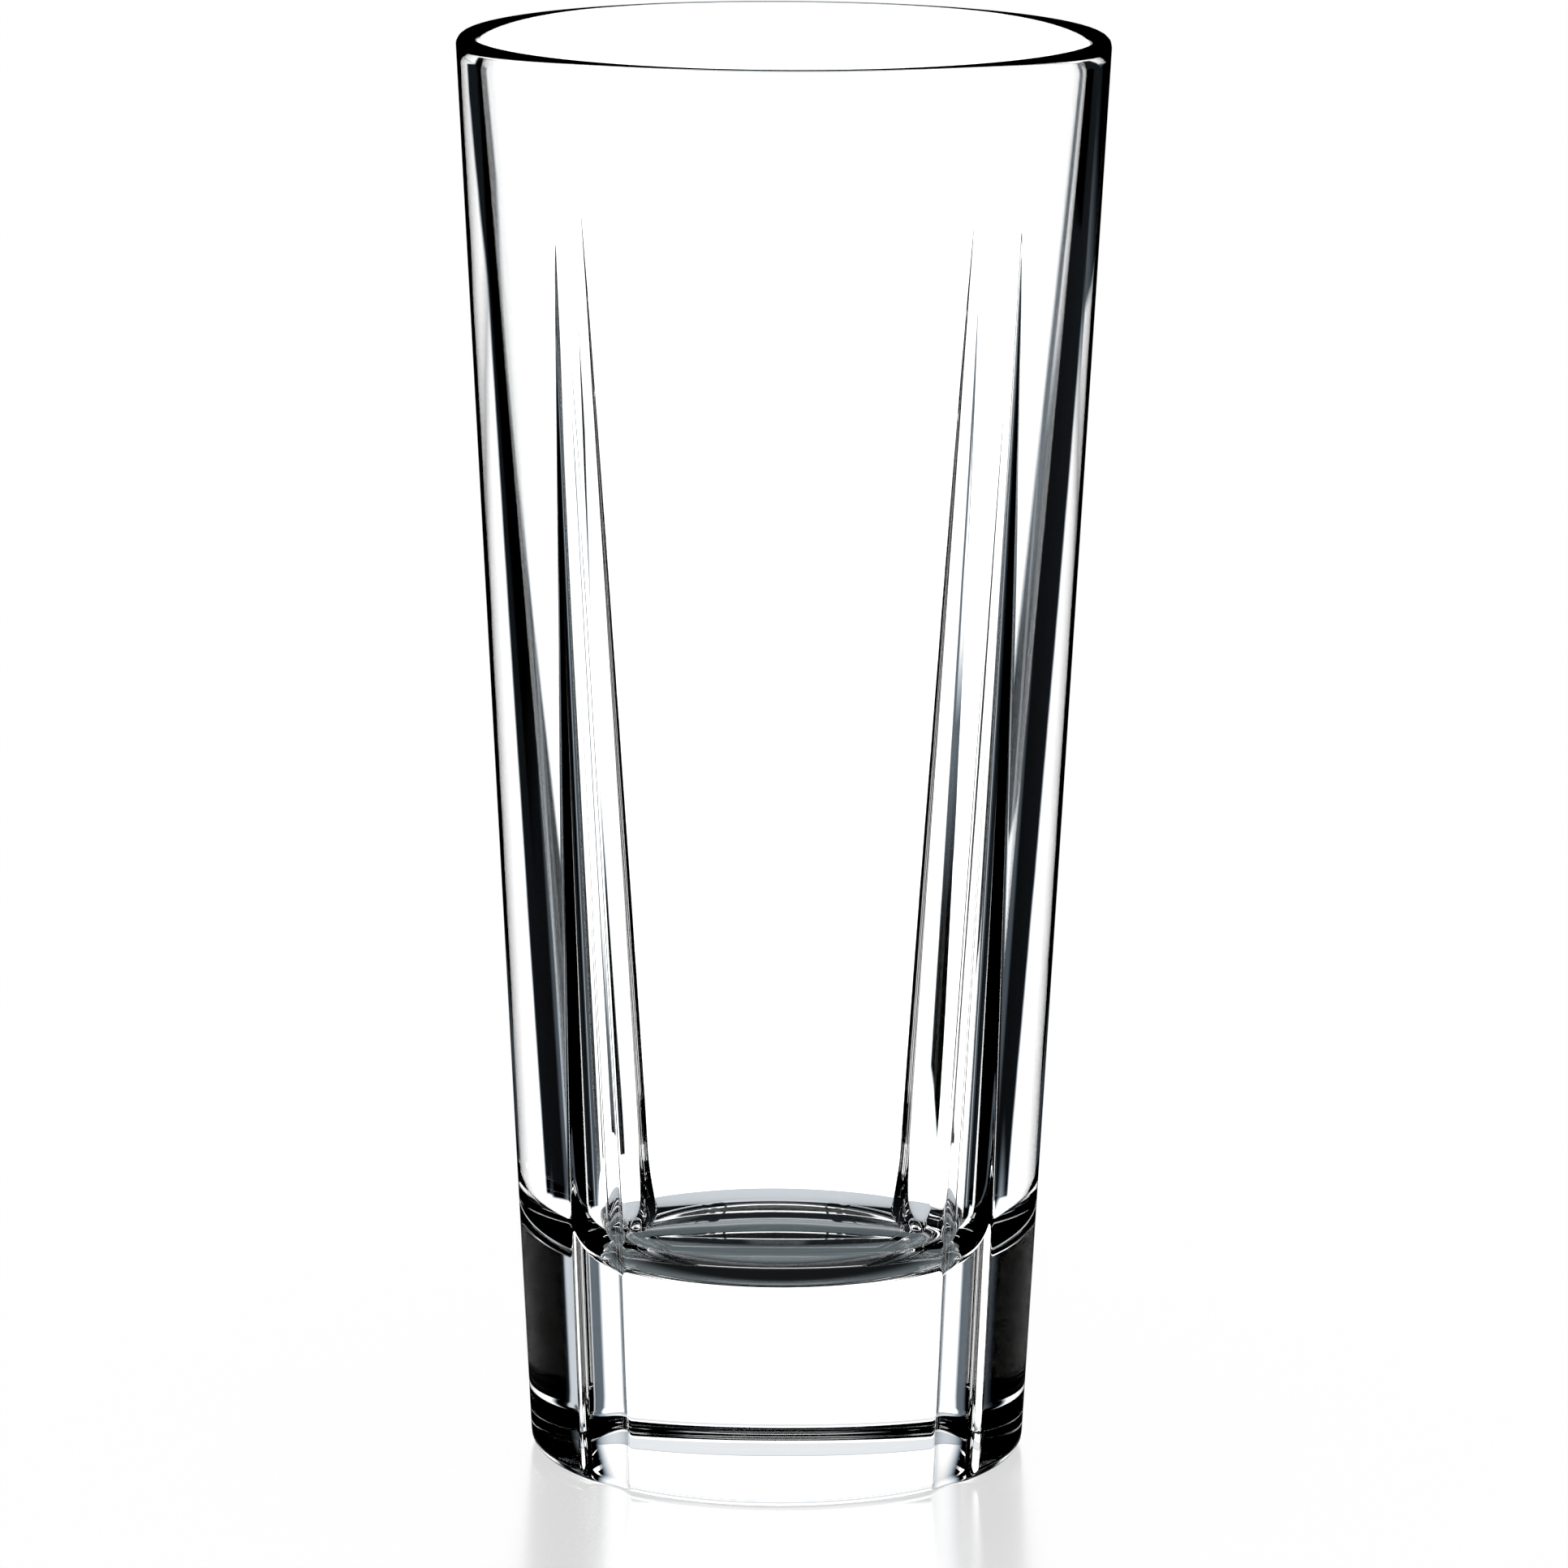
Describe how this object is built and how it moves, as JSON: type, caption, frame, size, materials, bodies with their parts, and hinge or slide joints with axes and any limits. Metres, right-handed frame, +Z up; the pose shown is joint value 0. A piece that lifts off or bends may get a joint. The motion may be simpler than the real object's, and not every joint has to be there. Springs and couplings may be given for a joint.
{
  "type": "highball glass",
  "caption": "Tall tapered clear drinking glass with a thick solid base and concave flutes that narrow and die out under the rim.",
  "frame": {"origin": "centre of the foot, on the plane that the glass stands on", "axes": "+Z up along the axis of the glass; +X and -Y each point at the middle of a plain round face, with a flute halfway between them"},
  "size_m": [0.0674, 0.0674, 0.15],
  "materials": {
    "clear_glass": "fire-polished clear soda-lime glass"
  },
  "bodies": {
    "root": {"rim": "clear_glass", "wall": "clear_glass", "base": "clear_glass"}
  },
  "joints": []
}
